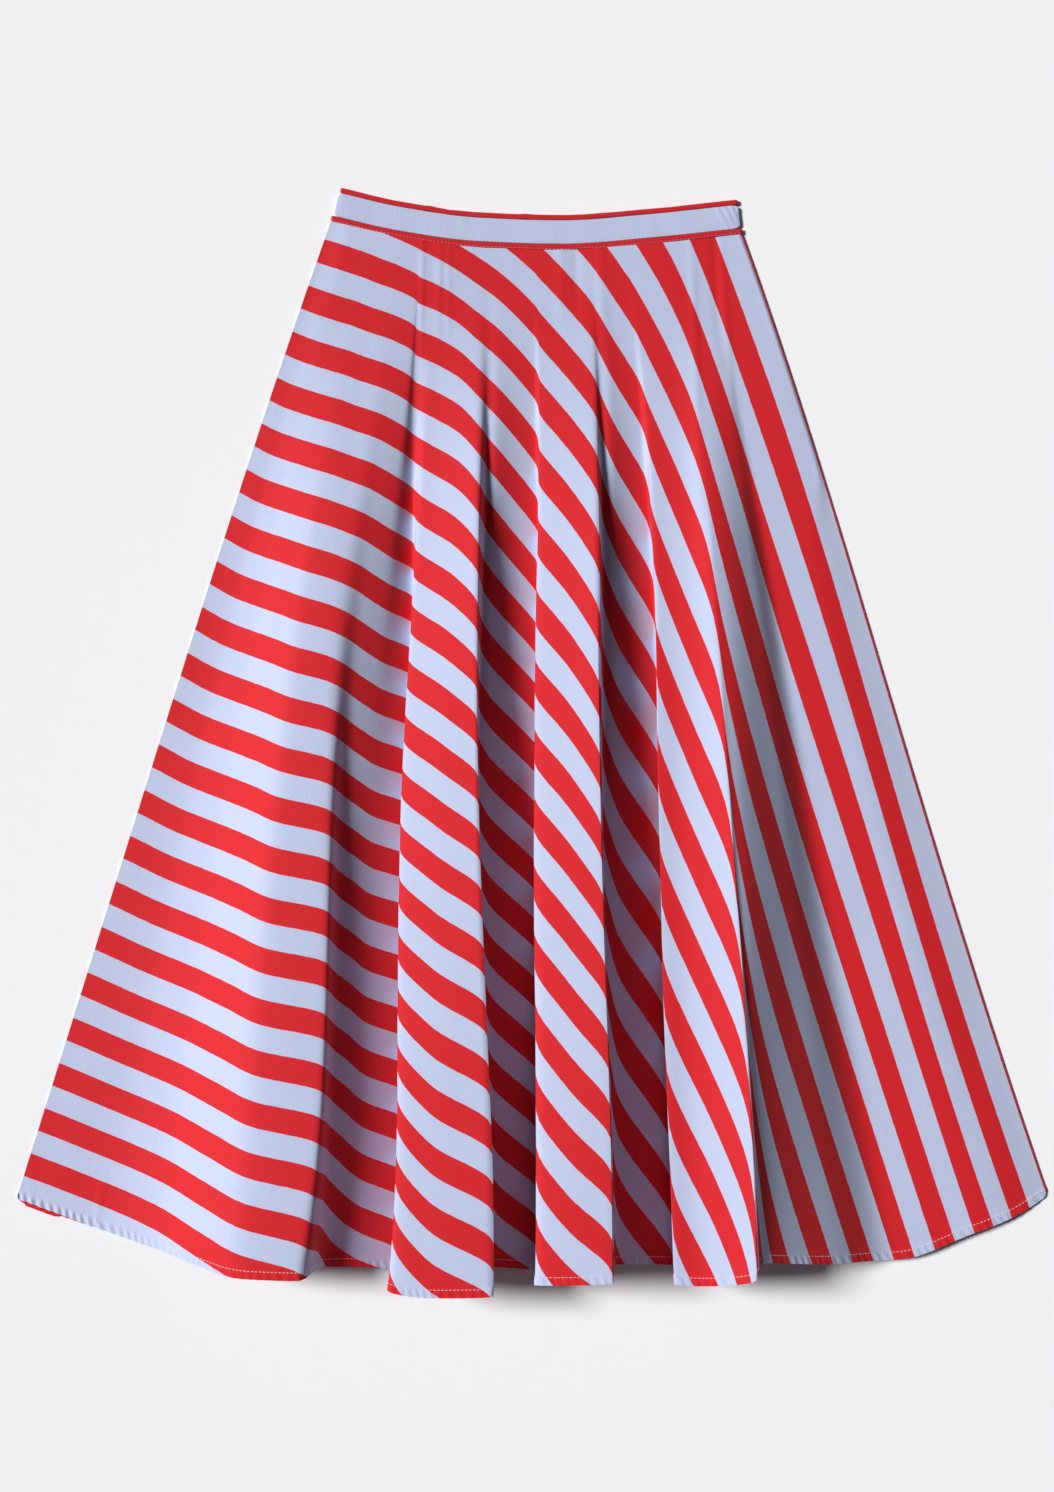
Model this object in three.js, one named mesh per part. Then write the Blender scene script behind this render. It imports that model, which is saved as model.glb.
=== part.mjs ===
// A striped circle skirt laid flat, in millimetres.
// +Y runs from the hem towards the waist, +Z is up and the surface it lies on is z = 0.
// Each panel is a quarter of a ring. Its cut is measured from the right-hand side seam (0 degrees)
// round to the left-hand one (90 degrees), and each fold line runs down it from waist to hem.
import * as THREE from "three";

// Driving dimensions
const WAIST_LEFT = -166.4; // the ends of the waist seam as it lies
const WAIST_RIGHT = 174.2;
const CLOTH = 1.5; // wall of each panel
const BAND_CLOTH = 1.8; // wall of the waistband, two layers and a stiffener
const PIPING = 2.2; // height of the red piping
const SEAM_GAP = 0.3;
const ZIP_ROOM = 1.0; // how far the front is lifted to clear the zip
const SIDE_ANGLE = 5; // the lift fades out over this much of the cut at a closed side seam
// Each strip's two edges, measured up from the waist seam, and where it starts and ends along the seam
const LOWER_PIPING = { edges: [0.3, 4.9], ends: [-166, 173.6] };
const BAND = { edges: [5.2, 24.5], ends: [-165, 172.6] };
const TOP_PIPING = { edges: [24.8, 29], ends: [-164.2, 172.6] };
const ZIP_WIDTH = 14;
const ZIP_TAPE = 0.7;
const ZIP_START = 0.003; // where the zip starts and ends, as shares of the side seam's length
const ZIP_END = 0.223;
const ZIP_INSET = 1; // from the side seam to the tape's outer edge
const LIFT_KEPT = 0.015; // how far below the zip the front's lift is kept, as a share of the seam's length
const LIFT_ENDS = 0.1; // and how far below it the lift has gone
const QUARTER = 90;

// The waist seam, as (x, y)
const WAIST_SEAM = [
  [WAIST_LEFT, 424.8],
  [-113, 412.5],
  [-45, 403.3],
  [25, 401],
  [100, 406.3],
  [WAIST_RIGHT, 414.1],
];

// How far down the cloth the fold lines' five x values stand, as shares of its length
const STATIONS = [0, 0.2, 0.48, 0.76, 1];
const FLAT_ABOVE = 0.32; // the folds fade in over this share of the length below the waist

// Fold lines from the left-hand side seam to the right-hand one:
// cut angle at the waist and at the hem, x at 0.2, at 0.48, at 0.76 and at the hem, y of the hem,
// rise at the hem, and how late the fold swells on its way down, where 1 is soonest
const FRONT_FOLDS = [
  // left side seam and the slope beside it
  [90, 90, -222, -295, -366, -427, -385, 0, 1],
  [88, 86.4, -209, -270, -321, -357, -408, 3, 1.1],
  [86.5, 83.8, -198, -248, -287, -314, -420, 14, 1.1],
  // broad billow
  [84, 80.4, -181, -219, -248, -272, -430, 40, 1.1],
  [82, 78, -165, -197, -217, -235, -437, 58, 1.1],
  [79, 75.3, -148, -164, -167, -188, -438, 62, 1.1],
  [75, 72.6, -126, -151, -161.5, -174.5, -433, 40, 0.85],
  [72.5, 71, -114, -140, -151, -170, -433, 33, 0.85],
  // first hollow
  [71, 68.2, -105, -124.5, -134, -142, -435, 22, 0.8],
  [69.6, 66.6, -97, -98, -100, -107, -442, 4, 1.2],
  // first roll
  [68, 64.4, -88, -104.5, -108.5, -116, -445, 63, 1.5],
  [63.5, 60.7, -60, -72, -80, -83, -450, 69, 1.15],
  [58.5, 57.8, -43.5, -44, -35.5, -31, -448, 73, 1],
  [56.3, 55.2, -37, -44, -39, -35, -442, 36, 1],
  // second hollow
  [54, 52.2, -27.5, -36, -35, -33, -435, 24, 0.8],
  [46.6, 50.1, 3, 7, 8, 7, -442, 4, 1.3],
  // second roll
  [46, 47.4, 5, 5, 7, 6, -443, 28, 1.3],
  [44.8, 44.1, 6, 2, 2.5, 2, -441, 63, 1.35],
  [40.2, 42.2, 29, 31, 30, 27, -440, 69, 1.15],
  [35, 40.3, 52.5, 55, 61, 65, -438, 73, 1],
  [33.2, 37.2, 57.5, 57, 60, 64, -440, 36, 1],
  // third hollow
  [30.8, 34, 66.5, 68, 67, 67.5, -433, 24, 0.8],
  [26.3, 30.4, 92, 106, 113, 121, -438, 4, 1.3],
  // third roll
  [25.8, 28.4, 94.5, 105, 111, 119, -440, 26, 1.3],
  [25, 25.6, 97, 102, 106.5, 114, -442, 57, 1.35],
  [22.7, 24.6, 107, 115, 121.5, 129, -443, 57, 1.35],
  [20.3, 23.5, 119, 130, 140, 148, -442, 62, 1.35],
  [17, 20.1, 135.5, 154.5, 170.5, 179, -434, 75, 1.25],
  [15.2, 18, 141.5, 157.5, 171, 180.5, -427, 71, 1.2],
  // low waves on the right and the right-hand side seam
  [13.6, 16.3, 148, 165, 177, 185, -423, 66, 1.2],
  [10.7, 11.9, 165, 195, 222, 247, -431, 30, 1],
  [8.5, 8.7, 178, 220, 262, 299, -433, 5, 0.8],
  [4.4, 4.6, 203, 259, 313, 362, -412, 5, 1],
  [2, 2.1, 218, 279, 339.5, 398, -398, 3, 1],
  [0, 0, 228, 296, 364, 427, -381, 0, 1],
];

// The back lies flat, with one narrow loop standing inside the billow and one inside each roll.
const BACK_FOLDS = [
  [90, 90, -222, -295, -366, -427, -385, 0, 1.6],
  [84, 81, -184, -236, -287, -335, -417, 0, 1.6],
  [80.5, 75.6, -160, -204, -242, -262, -434, 0, 1.6],
  [79.6, 74, -156, -199, -234, -250, -436, 21, 1.6],
  [78.4, 72.4, -150, -189, -218, -227, -437, 44, 1.6],
  [77, 70.8, -143, -175, -197, -204, -438, 21, 1.6],
  [76, 69.2, -138, -170, -191, -194, -439, 0, 1.6],
  [68, 63.8, -79, -88, -94, -94, -440, 0, 1.6],
  [67, 61.6, -75, -84, -88, -87, -440, 30, 1.6],
  [64, 58.8, -62, -69, -72, -69, -440, 59, 1.6],
  [60.6, 56, -51, -55, -56, -50, -440, 30, 1.6],
  [59.6, 53.8, -48, -51, -53, -46, -440, 0, 1.6],
  [45, 48.6, 9, 11, 12, 15, -440, 0, 1.6],
  [44, 46.4, 14, 15, 15, 18, -440, 31, 1.6],
  [40.4, 43.6, 28, 29, 29, 35, -440, 59, 1.6],
  [36, 40.8, 42, 44, 46, 51, -440, 31, 1.6],
  [35, 38.6, 47, 48, 49, 55, -439, 0, 1.6],
  [23.5, 32.2, 104, 116, 122, 129, -436, 0, 1.6],
  [22.6, 30, 108, 119, 124, 133, -436, 31, 1.6],
  [20.4, 27.2, 118, 132, 141, 152, -435, 55, 1.6],
  [17.8, 24.4, 127, 143, 155, 168, -433, 31, 1.6],
  [16.8, 22.2, 131, 146, 158, 173, -432, 0, 1.6],
  [8, 10, 182, 226, 266, 300, -424, 0, 1.6],
  [0, 0, 228, 296, 364, 427, -381, 0, 1.6],
];

const FRONT_ROWS = 14;
const BACK_ROWS = 10;
const STEPS_BETWEEN_FOLDS = 2;
const BAND_STEPS = 20;
const ZIP_STEPS = 6;

// Slopes at the points of a curve that never overshoots them
function slopesAt(xs, ys) {
  const last = xs.length - 1;
  const rise = (i) => (ys[i + 1] - ys[i]) / (xs[i + 1] - xs[i]);
  return xs.map((_, i) => {
    if (i === 0) return rise(0);
    if (i === last) return rise(last - 1);
    const before = rise(i - 1);
    const after = rise(i);
    if (before * after <= 0) return 0;
    const near = 2 * (xs[i + 1] - xs[i]) + (xs[i] - xs[i - 1]);
    const far = xs[i + 1] - xs[i] + 2 * (xs[i] - xs[i - 1]);
    return (near + far) / (near / before + far / after);
  });
}

// A smooth curve through the points (xs, ys), with xs rising
function smoothCurve(xs, ys) {
  const slopes = slopesAt(xs, ys);
  return (x) => {
    const after = xs.findIndex((value) => value >= x);
    const i = Math.max(0, (after < 0 ? xs.length - 1 : after) - 1);
    const step = xs[i + 1] - xs[i];
    const s = (x - xs[i]) / step;
    const low = (1 + 2 * s) * (1 - s) ** 2 * ys[i] + s * (1 - s) ** 2 * step * slopes[i];
    const high = s * s * (3 - 2 * s) * ys[i + 1] + s * s * (s - 1) * step * slopes[i + 1];
    return low + high;
  };
}

// The smooth curve through one value at each station
function throughStations(values, down) {
  return values.reduce((sum, value, i) => {
    const weight = STATIONS.reduce(
      (w, station, j) => (j === i ? w : (w * (down - station)) / (STATIONS[i] - station)),
      1,
    );
    return sum + value * weight;
  }, 0);
}

const seamHeight = smoothCurve(
  WAIST_SEAM.map((point) => point[0]),
  WAIST_SEAM.map((point) => point[1]),
);
const waistX = (cut) => THREE.MathUtils.lerp(WAIST_RIGHT, WAIST_LEFT, cut / QUARTER);
const cutAtWaistX = (x) => (QUARTER * (WAIST_RIGHT - x)) / (WAIST_RIGHT - WAIST_LEFT);

// Where a panel's cloth lies, given how far across its folds and how far down it a point is
function panelSurface(folds, baseHeight) {
  const across = folds.map((fold) => (QUARTER - fold[1]) / QUARTER);
  const column = (k) => smoothCurve(across, folds.map((fold) => fold[k]));
  const [cutTop, cutHem, upper, middle, low, hem, hemY, rise, late] = folds[0].map((_, k) => column(k));
  return (u, down) => {
    const top = waistX(cutTop(u));
    const cut = THREE.MathUtils.lerp(cutTop(u), cutHem(u), down);
    const swell = Math.sin((Math.PI / 2) * down ** late(u)) * THREE.MathUtils.smoothstep(down, 0, FLAT_ABOVE);
    return new THREE.Vector3(
      throughStations([top, upper(u), middle(u), low(u), hem(u)], down),
      THREE.MathUtils.lerp(seamHeight(top), hemY(u), down),
      baseHeight(cut, down) + rise(u) * swell,
    );
  };
}

// Columns at each fold line and evenly between them
function columnsOf(folds) {
  const across = folds.map((fold) => (QUARTER - fold[1]) / QUARTER);
  const between = across.slice(1).flatMap((end, i) =>
    Array.from({ length: STEPS_BETWEEN_FOLDS }, (_, k) =>
      THREE.MathUtils.lerp(across[i], end, (k + 1) / STEPS_BETWEEN_FOLDS),
    ),
  );
  return [across[0], ...between];
}

// The front meets the back at the closed side seams and is lifted over the zip elsewhere
function liftOverZip(cut, down) {
  const leftSide = THREE.MathUtils.smoothstep(QUARTER - cut, 0, SIDE_ANGLE);
  const besideZip = 1 - THREE.MathUtils.smoothstep(down, ZIP_END + LIFT_KEPT, ZIP_END + LIFT_ENDS);
  const rightSide = Math.max(besideZip, THREE.MathUtils.smoothstep(cut, 0, SIDE_ANGLE));
  return ZIP_ROOM * leftSide * rightSide;
}

const frontBase = (cut, down) => CLOTH + SEAM_GAP + CLOTH / 2 + liftOverZip(cut, down);

// The way a grid of points faces at one of them
function facing(grid, i, j) {
  const rows = grid.length - 1;
  const columns = grid[0].length - 1;
  const along = grid[i][Math.min(j + 1, columns)].clone().sub(grid[i][Math.max(j - 1, 0)]);
  const up = grid[Math.max(i - 1, 0)][j].clone().sub(grid[Math.min(i + 1, rows)][j]);
  return along.cross(up).normalize();
}

// A closed wall of the given thickness with the grid at its middle.
// The grid's columns run from left to right and its rows from the waist down.
function wall(grid, thickness) {
  const rows = grid.length;
  const columns = grid[0].length;
  const sheet = (offset) =>
    grid.map((row, i) => row.map((point, j) => point.clone().addScaledVector(facing(grid, i, j), offset)));
  const positions = [...sheet(thickness / 2), ...sheet(-thickness / 2)]
    .flat()
    .flatMap((point) => point.toArray());
  const upper = (i, j) => i * columns + j;
  const lower = (i, j) => (rows + i) * columns + j;
  const faces = [];
  const quad = (a, b, c, d) => faces.push(a, b, c, a, c, d);
  for (let i = 0; i < rows - 1; i++) {
    for (let j = 0; j < columns - 1; j++) {
      quad(upper(i, j), upper(i + 1, j), upper(i + 1, j + 1), upper(i, j + 1));
      quad(lower(i, j), lower(i, j + 1), lower(i + 1, j + 1), lower(i + 1, j));
    }
  }
  for (let j = 0; j < columns - 1; j++) {
    quad(upper(0, j), upper(0, j + 1), lower(0, j + 1), lower(0, j));
    quad(upper(rows - 1, j + 1), upper(rows - 1, j), lower(rows - 1, j), lower(rows - 1, j + 1));
  }
  for (let i = 0; i < rows - 1; i++) {
    quad(upper(i + 1, 0), upper(i, 0), lower(i, 0), lower(i + 1, 0));
    quad(upper(i, columns - 1), upper(i + 1, columns - 1), lower(i + 1, columns - 1), lower(i, columns - 1));
  }
  const geometry = new THREE.BufferGeometry();
  geometry.setAttribute("position", new THREE.Float32BufferAttribute(positions, 3));
  geometry.setIndex(faces);
  return geometry;
}

function panel(folds, rows, baseHeight) {
  const surface = panelSurface(folds, baseHeight);
  const columns = columnsOf(folds);
  const grid = Array.from({ length: rows + 1 }, (_, i) => columns.map((u) => surface(u, i / rows)));
  return wall(grid, CLOTH);
}

// A point beside the waist seam, measured square to it and up from it
function besideSeam(x, distance, height) {
  const reach = 1;
  const slope = (seamHeight(x + reach) - seamHeight(x - reach)) / (2 * reach);
  const length = Math.hypot(1, slope);
  return new THREE.Vector3(
    x - (slope / length) * distance,
    seamHeight(x) + distance / length,
    height,
  );
}

// A strip of the band, front or back, between two distances from the waist seam
function bandStrip({ edges: [low, high], ends: [left, right] }, thickness, isFront) {
  const under = (x) => (isFront ? PIPING + SEAM_GAP + liftOverZip(cutAtWaistX(x), 0) : 0);
  const stations = Array.from({ length: BAND_STEPS + 1 }, (_, k) =>
    THREE.MathUtils.lerp(left, right, k / BAND_STEPS),
  );
  const grid = [high, low].map((distance) =>
    stations.map((x) => besideSeam(x, distance, under(x) + thickness / 2)),
  );
  return wall(grid, thickness);
}

// The zip's closed tapes, flat between the two layers along the right-hand side seam
function zip() {
  const surface = panelSurface(BACK_FOLDS, () => 0);
  const height = CLOTH + SEAM_GAP + ZIP_TAPE / 2;
  const edge = (down) => surface(1, down).setZ(height);
  const rows = Array.from({ length: ZIP_STEPS + 1 }, (_, i) => {
    const outer = edge(THREE.MathUtils.lerp(ZIP_START, ZIP_END, i / ZIP_STEPS));
    outer.x -= ZIP_INSET;
    return [new THREE.Vector3(outer.x - ZIP_WIDTH, outer.y, height), outer];
  });
  return wall(rows, ZIP_TAPE);
}

const skirt = new THREE.Group();

function addPiece(name, geometry, color) {
  const material = new THREE.MeshStandardMaterial({ color, roughness: 0.85, metalness: 0 });
  const mesh = new THREE.Mesh(geometry, material);
  mesh.name = name;
  skirt.add(mesh);
}

const WHITE_COTTON = "#d9e0f4";
const RED_COTTON = "#d8232f";

addPiece("front_panel", panel(FRONT_FOLDS, FRONT_ROWS, frontBase), RED_COTTON);
addPiece("back_panel", panel(BACK_FOLDS, BACK_ROWS, () => CLOTH / 2), RED_COTTON);
for (const [side, isFront] of [["front", true], ["back", false]]) {
  addPiece(`waistband_${side}`, bandStrip(BAND, BAND_CLOTH, isFront), WHITE_COTTON);
  addPiece(`top_piping_${side}`, bandStrip(TOP_PIPING, PIPING, isFront), RED_COTTON);
  addPiece(`lower_piping_${side}`, bandStrip(LOWER_PIPING, PIPING, isFront), RED_COTTON);
}
addPiece("side_zip", zip(), WHITE_COTTON);

export default skirt;
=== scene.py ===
"""A striped circle skirt laid flat: its cloth, hems, waistband, piping, stitching and side zip.

The tables and shapes are in millimetres and degrees, and the objects are in metres.
+Y runs from the hem to the waist, +Z is up and the surface that the skirt lies on is z = 0.
"""

import math
from typing import Callable, NamedTuple

import bpy
import numpy as np
from bpy.props import FloatProperty, FloatVectorProperty, PointerProperty
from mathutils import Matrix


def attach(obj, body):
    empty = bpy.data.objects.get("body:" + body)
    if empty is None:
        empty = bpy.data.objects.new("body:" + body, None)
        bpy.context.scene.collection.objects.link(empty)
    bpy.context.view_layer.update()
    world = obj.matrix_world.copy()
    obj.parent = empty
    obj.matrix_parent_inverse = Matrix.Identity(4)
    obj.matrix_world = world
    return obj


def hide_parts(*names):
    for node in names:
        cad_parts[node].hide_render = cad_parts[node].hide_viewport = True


bl_info = {
    "name": "Circle skirt",
    "version": (1, 0, 0),
    "blender": (4, 5, 0),
    "location": "3D View > Sidebar > Skirt",
    "description": "Builds the cloth, hems, waistband, piping, stitching and zip of a striped circle skirt",
    "category": "Object",
}

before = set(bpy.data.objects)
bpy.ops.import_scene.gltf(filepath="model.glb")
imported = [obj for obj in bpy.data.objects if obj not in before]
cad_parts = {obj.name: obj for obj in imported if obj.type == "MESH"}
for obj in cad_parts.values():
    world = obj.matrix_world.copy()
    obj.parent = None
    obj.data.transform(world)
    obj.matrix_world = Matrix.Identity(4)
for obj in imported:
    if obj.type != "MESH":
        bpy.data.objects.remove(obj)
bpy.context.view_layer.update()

MILLIMETRE = 0.001

# How a panel is cut: a quarter of a ring, from the right-hand side seam (0 degrees) to the left (90)
QUARTER = 90.0
CUT_INNER = 206.0
CUT_LENGTH = 851.0
# How far the cloth has given on its way down: share of its length, give along the grain, give on the bias
GIVE = [(0, 0, 0), (0.15, 0, 1), (0.4, 0.4, 7.5), (0.75, 2.5, 1), (1, 6, 1)]
FIRST_STRIPE = 1.66  # the first white stripe starts this far in from the right-hand side seam
BACK_STRIPES_OFF = 7.0  # how far the back's stripes miss the front's at the left-hand side seam

# The waist seam as it lies, as (x, y)
WAIST_LEFT = -166.4
WAIST_RIGHT = 174.2
WAIST_SEAM = [
    (WAIST_LEFT, 424.8),
    (-113, 412.5),
    (-45, 403.3),
    (25, 401),
    (100, 406.3),
    (WAIST_RIGHT, 414.1),
]

# How far down the cloth the fold lines' five x values stand, as shares of its length
STATIONS = (0, 0.2, 0.48, 0.76, 1)
FLAT_ABOVE = 0.32  # the folds fade in over this share of the length below the waist

# Fold lines from the left-hand side seam to the right-hand one:
# cut angle at the waist and at the hem, x at 0.2, at 0.48, at 0.76 and at the hem, y of the hem,
# rise at the hem, and how late the fold swells on its way down, where 1 is soonest
FRONT_FOLDS = [
    # left side seam and the slope beside it
    (90, 90, -222, -295, -366, -427, -385, 0, 1.0),
    (88, 86.4, -209, -270, -321, -357, -408, 3, 1.1),
    (86.5, 83.8, -198, -248, -287, -314, -420, 14, 1.1),
    # broad billow
    (84, 80.4, -181, -219, -248, -272, -430, 40, 1.1),
    (82, 78, -165, -197, -217, -235, -437, 58, 1.1),
    (79, 75.3, -148, -164, -167, -188, -438, 62, 1.1),
    (75, 72.6, -126, -151, -161.5, -174.5, -433, 40, 0.85),
    (72.5, 71, -114, -140, -151, -170, -433, 33, 0.85),
    # first hollow
    (71, 68.2, -105, -124.5, -134, -142, -435, 22, 0.8),
    (69.6, 66.6, -97, -98, -100, -107, -442, 4, 1.2),
    # first roll
    (68, 64.4, -88, -104.5, -108.5, -116, -445, 63, 1.5),
    (63.5, 60.7, -60, -72, -80, -83, -450, 69, 1.15),
    (58.5, 57.8, -43.5, -44, -35.5, -31, -448, 73, 1.0),
    (56.3, 55.2, -37, -44, -39, -35, -442, 36, 1.0),
    # second hollow
    (54, 52.2, -27.5, -36, -35, -33, -435, 24, 0.8),
    (46.6, 50.1, 3, 7, 8, 7, -442, 4, 1.3),
    # second roll
    (46.0, 47.4, 5, 5, 7, 6, -443, 28, 1.3),
    (44.8, 44.1, 6, 2, 2.5, 2, -441, 63, 1.35),
    (40.2, 42.2, 29, 31, 30, 27, -440, 69, 1.15),
    (35, 40.3, 52.5, 55, 61, 65, -438, 73, 1.0),
    (33.2, 37.2, 57.5, 57, 60, 64, -440, 36, 1.0),
    # third hollow
    (30.8, 34, 66.5, 68, 67, 67.5, -433, 24, 0.8),
    (26.3, 30.4, 92, 106, 113, 121, -438, 4, 1.3),
    # third roll
    (25.8, 28.4, 94.5, 105, 111, 119, -440, 26, 1.3),
    (25, 25.6, 97, 102, 106.5, 114, -442, 57, 1.35),
    (22.7, 24.6, 107, 115, 121.5, 129, -443, 57, 1.35),
    (20.3, 23.5, 119, 130, 140, 148, -442, 62, 1.35),
    (17, 20.1, 135.5, 154.5, 170.5, 179, -434, 75, 1.25),
    (15.2, 18, 141.5, 157.5, 171, 180.5, -427, 71, 1.2),
    # low waves on the right and the right-hand side seam
    (13.6, 16.3, 148, 165, 177, 185, -423, 66, 1.2),
    (10.7, 11.9, 165, 195, 222, 247, -431, 30, 1.0),
    (8.5, 8.7, 178, 220, 262, 299, -433, 5, 0.8),
    (4.4, 4.6, 203, 259, 313, 362, -412, 5, 1.0),
    (2, 2.1, 218, 279, 339.5, 398, -398, 3, 1.0),
    (0, 0, 228, 296, 364, 427, -381, 0, 1.0),
]

# The back lies flat, with one narrow loop standing inside the billow and one inside each roll.
BACK_FOLDS = [
    (90, 90, -222, -295, -366, -427, -385, 0, 1.6),
    (84, 81, -184, -236, -287, -335, -417, 0, 1.6),
    (80.5, 75.6, -160, -204, -242, -262, -434, 0, 1.6),
    (79.6, 74, -156, -199, -234, -250, -436, 21, 1.6),
    (78.4, 72.4, -150, -189, -218, -227, -437, 44, 1.6),
    (77, 70.8, -143, -175, -197, -204, -438, 21, 1.6),
    (76, 69.2, -138, -170, -191, -194, -439, 0, 1.6),
    (68, 63.8, -79, -88, -94, -94, -440, 0, 1.6),
    (67, 61.6, -75, -84, -88, -87, -440, 30, 1.6),
    (64, 58.8, -62, -69, -72, -69, -440, 59, 1.6),
    (60.6, 56, -51, -55, -56, -50, -440, 30, 1.6),
    (59.6, 53.8, -48, -51, -53, -46, -440, 0, 1.6),
    (45, 48.6, 9, 11, 12, 15, -440, 0, 1.6),
    (44, 46.4, 14, 15, 15, 18, -440, 31, 1.6),
    (40.4, 43.6, 28, 29, 29, 35, -440, 59, 1.6),
    (36, 40.8, 42, 44, 46, 51, -440, 31, 1.6),
    (35, 38.6, 47, 48, 49, 55, -439, 0, 1.6),
    (23.5, 32.2, 104, 116, 122, 129, -436, 0, 1.6),
    (22.6, 30, 108, 119, 124, 133, -436, 31, 1.6),
    (20.4, 27.2, 118, 132, 141, 152, -435, 55, 1.6),
    (17.8, 24.4, 127, 143, 155, 168, -433, 31, 1.6),
    (16.8, 22.2, 131, 146, 158, 173, -432, 0, 1.6),
    (8, 10, 182, 226, 266, 300, -424, 0, 1.6),
    (0, 0, 228, 296, 364, 427, -381, 0, 1.6),
]

# Soft creases that run down from the waist seam, as (x, y, x, y, width, height); a trough is below 0
WAIST_CREASES = [
    (-90, 440, -92, 300, 2.7, 0.5),
    (-75, 440, -78, 305, 2.7, 0.5),
    (-68, 440, -70, 312, 2.43, 0.39),
    (24, 440, 24, 335, 4.86, 0.55),
    (36, 430, 37, 330, 3.24, -0.44),
    (55, 430, 60, 300, 4.86, 0.55),
    (131, 440, 139, 180, 3.51, 0.66),
    (150, 440, 154, 320, 3.24, -0.55),
    (155, 420, 168, 240, 3.24, 0.5),
]
# Pressed creases beside the lower left corner
HEM_CREASES = [
    (-352, -360, -362, -410, 1.2, 0.7),
    (-415, -340, -413, -385, 1.2, 0.6),
]
# The same kinds of crease on the back, which hides them
BACK_CREASES = [
    (-110, 440, -118, 310, 2.4, -0.8),
    (-20, 440, -20, 320, 2.6, -0.9),
    (80, 440, 86, 315, 2.4, -0.8),
    (140, 440, 152, 280, 2.6, -0.9),
]

# The band's strips, front and back, as distances up from the waist seam
LOWER_PIPING = (0.3, 4.9)
BAND = (5.0, 24.6)
TOP_PIPING = (24.7, 29.0)
# Where each strip starts and ends, as x along the waist seam
LOWER_PIPING_ENDS = (-166.6, 174.0)
BAND_ENDS = (-165.2, 172.8)
TOP_PIPING_ENDS = (-164.4, 172.8)

# The middle of each layer over the floor where it has no fold
BACK_MIDDLE = 0.55
FRONT_AT_SEAM = 1.1  # the front, at a side seam
FRONT_LIFT = 1.5  # and how much higher it is elsewhere, clear of the zip
LEFT_LIFT_ANGLE = 5  # the lift starts within this much of the cut at the left-hand side seam
RIGHT_LIFT_REACH = 3.5  # and within this distance of the right-hand one, where the zip is
BELOW_ZIP_REACH = 45  # and within this much more below the zip
ZIP_PASSED = (0.24, 0.34)  # the shares of the length over which it spreads below the zip
FRONT_BAND_HEIGHT = 2.6
BACK_BAND_HEIGHT = 0.95

FINE = 4000  # how many steps the fold lines are drawn in before they are softened
SOFTENING = 14  # how far they are softened, in those steps
LEAST_STEP = 0.02  # added to each step, so that no columns are at the same place
SHARP_EDGE = math.radians(40)
BROAD_SLACK = 0.3  # height of the broad unevenness of cloth that nobody has pressed
SMALL_SLACK = 0.1


# ---------------- settings


def linear(hex_colour):
    """An sRGB hex colour as linear red, green, blue and alpha."""
    parts = [int(hex_colour[i : i + 2], 16) / 255 for i in (1, 3, 5)]
    return (*[c / 12.92 if c <= 0.04045 else ((c + 0.055) / 1.055) ** 2.4 for c in parts], 1.0)


def length(name, description, millimetres):
    """A length that a user may change, kept in metres."""
    return FloatProperty(
        name=name,
        description=description,
        default=millimetres * MILLIMETRE,
        min=0.0,
        unit="LENGTH",
        precision=5,
    )


def colour(name, description, hex_colour):
    """A colour that a user may change."""
    return FloatVectorProperty(
        name=name,
        description=description,
        default=linear(hex_colour),
        size=4,
        min=0.0,
        max=1.0,
        subtype="COLOR",
    )


class SkirtCloth(bpy.types.PropertyGroup):
    """The striped cloth and its hem."""

    thickness: length("Cloth thickness", "Thickness of the cotton poplin", 0.5)
    stripe: length("Stripe width", "Width of each woven stripe", 20)
    hem_depth: length("Hem depth", "How far up the turned hem reaches", 8)
    hem_thickness: length("Hem thickness", "Thickness of the cloth where the hem is turned", 1.15)
    white: colour("White yarn", "Colour of the white stripes", "#c1cae7")
    red: colour("Red yarn", "Colour of the red stripes", "#d60f1c")


class SkirtTrim(bpy.types.PropertyGroup):
    """The waistband, the piping and the stitches."""

    band_thickness: length("Band thickness", "Thickness of one side of the waistband", 1.5)
    piping_height: length("Piping thickness", "How thick the corded piping is", 2.1)
    band_white: colour("Band white", "Colour of the waistband", "#c1cae7")
    piping_red: colour("Piping red", "Colour of the piping", "#cc121e")
    stitch_pitch: length("Stitch pitch", "Distance from one stitch to the next", 3.2)
    stitch_length: length("Stitch length", "How much of each stitch shows", 2.3)
    thread: colour("Thread", "Colour of the sewing thread", "#e9d3dc")


class SkirtStage(bpy.types.PropertyGroup):
    """The floor, the lights and the camera."""

    camera_height: length("Camera height", "Height of the camera over the floor", 2000)
    lens: FloatProperty(name="Lens", description="Focal length in millimetres", default=58.28, min=10.0)
    key_power: FloatProperty(
        name="Key light", description="Strength of the light on the left", default=3.85, min=0.0
    )
    key_spread: FloatProperty(
        name="Key softness",
        description="How wide the key light is",
        default=math.radians(16),
        subtype="ANGLE",
    )
    sky: FloatProperty(
        name="Room light", description="Strength of the light from all round", default=0.062, min=0.0
    )
    floor: colour("Floor", "Colour of the paper that the skirt lies on", "#fdfdfe")


# ---------------- shapes


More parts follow.
